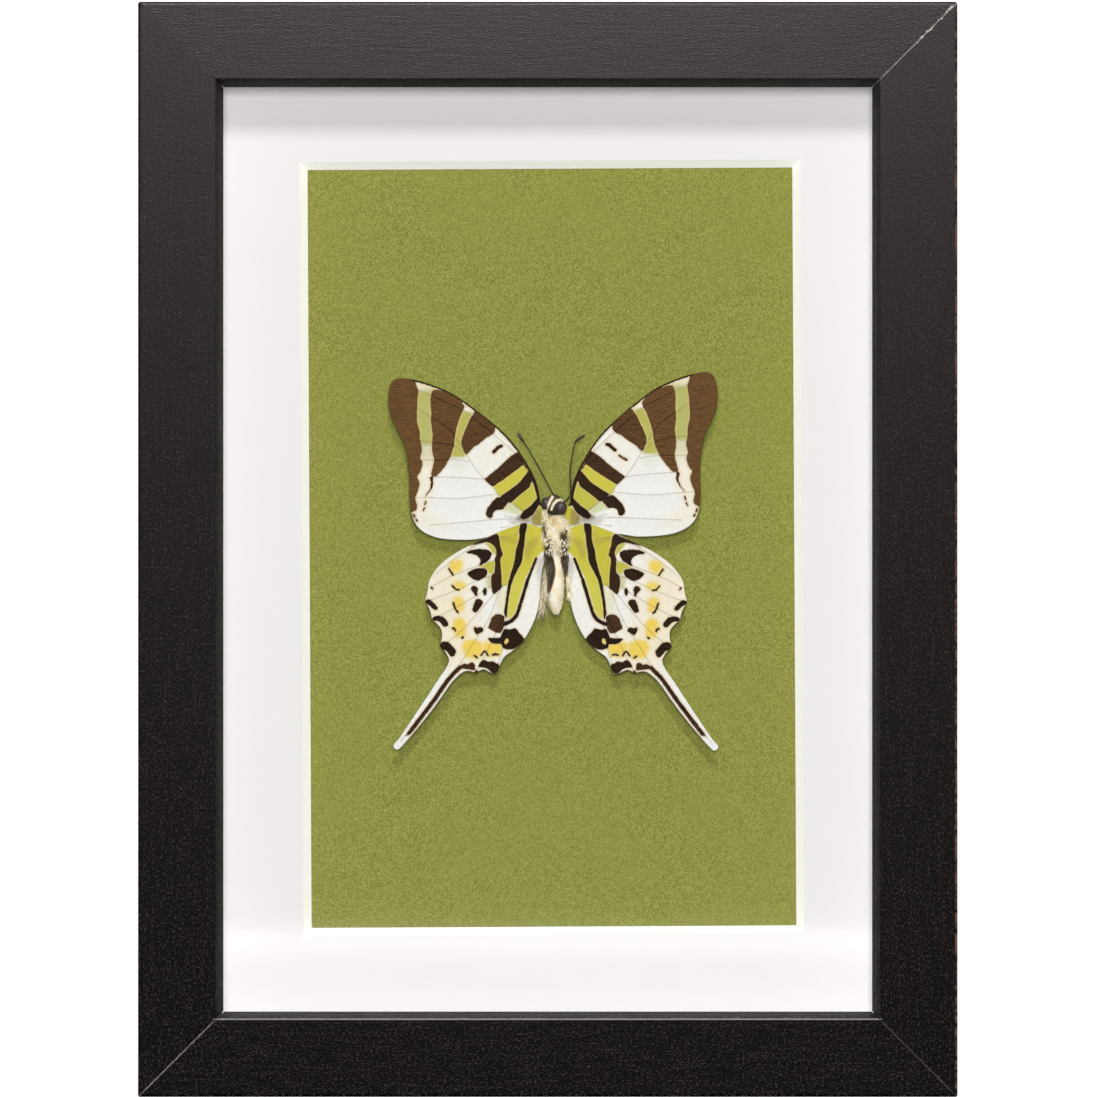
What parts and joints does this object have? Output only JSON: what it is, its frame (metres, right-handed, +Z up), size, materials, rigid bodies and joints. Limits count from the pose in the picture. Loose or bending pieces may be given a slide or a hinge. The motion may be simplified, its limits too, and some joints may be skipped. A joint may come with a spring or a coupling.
{
  "type": "framed butterfly specimen",
  "caption": "Upright black box frame with glass, a white bevel-cut mat and a green card, holding a dried swallowtail butterfly spread with its underside to the viewer.",
  "frame": {"origin": "centre of the footprint on the surface the frame stands on", "axes": "+Z up along the frame's long side, the glass faces -Y, +X to the right seen from the front"},
  "size_m": [0.1762, 0.034, 0.2355],
  "materials": {
    "rail": "black embossed wood-grain foil, satin",
    "glass": "clear polished picture glass",
    "spacer": "white foam-core strip, matt",
    "mat": "white mat board with a cream bevel, matt",
    "backing_card": "moss-green felted paper, matt",
    "back_panel": "brown hardboard",
    "tab": "blackened spring steel",
    "hanger": "zinc-plated steel",
    "mounting_pad": "white foam",
    "butterfly": "dry scaled wings and hairy body, matt"
  },
  "bodies": {
    "root": {"rail_top": "rail", "rail_bottom": "rail", "rail_left": "rail", "rail_right": "rail", "glass": "glass", "spacer_top": "spacer", "spacer_bottom": "spacer", "spacer_left": "spacer", "spacer_right": "spacer", "mat": "mat", "backing_card": "backing_card", "back_panel": "back_panel", "tab_top_left": "tab", "tab_top_right": "tab", "tab_bottom_left": "tab", "tab_bottom_right": "tab", "tab_left_upper": "tab", "tab_left_lower": "tab", "tab_right_upper": "tab", "tab_right_lower": "tab", "hanger": "hanger", "rivet_left": "hanger", "rivet_right": "hanger", "mounting_pad": "mounting_pad", "butterfly": "butterfly"}
  },
  "joints": []
}
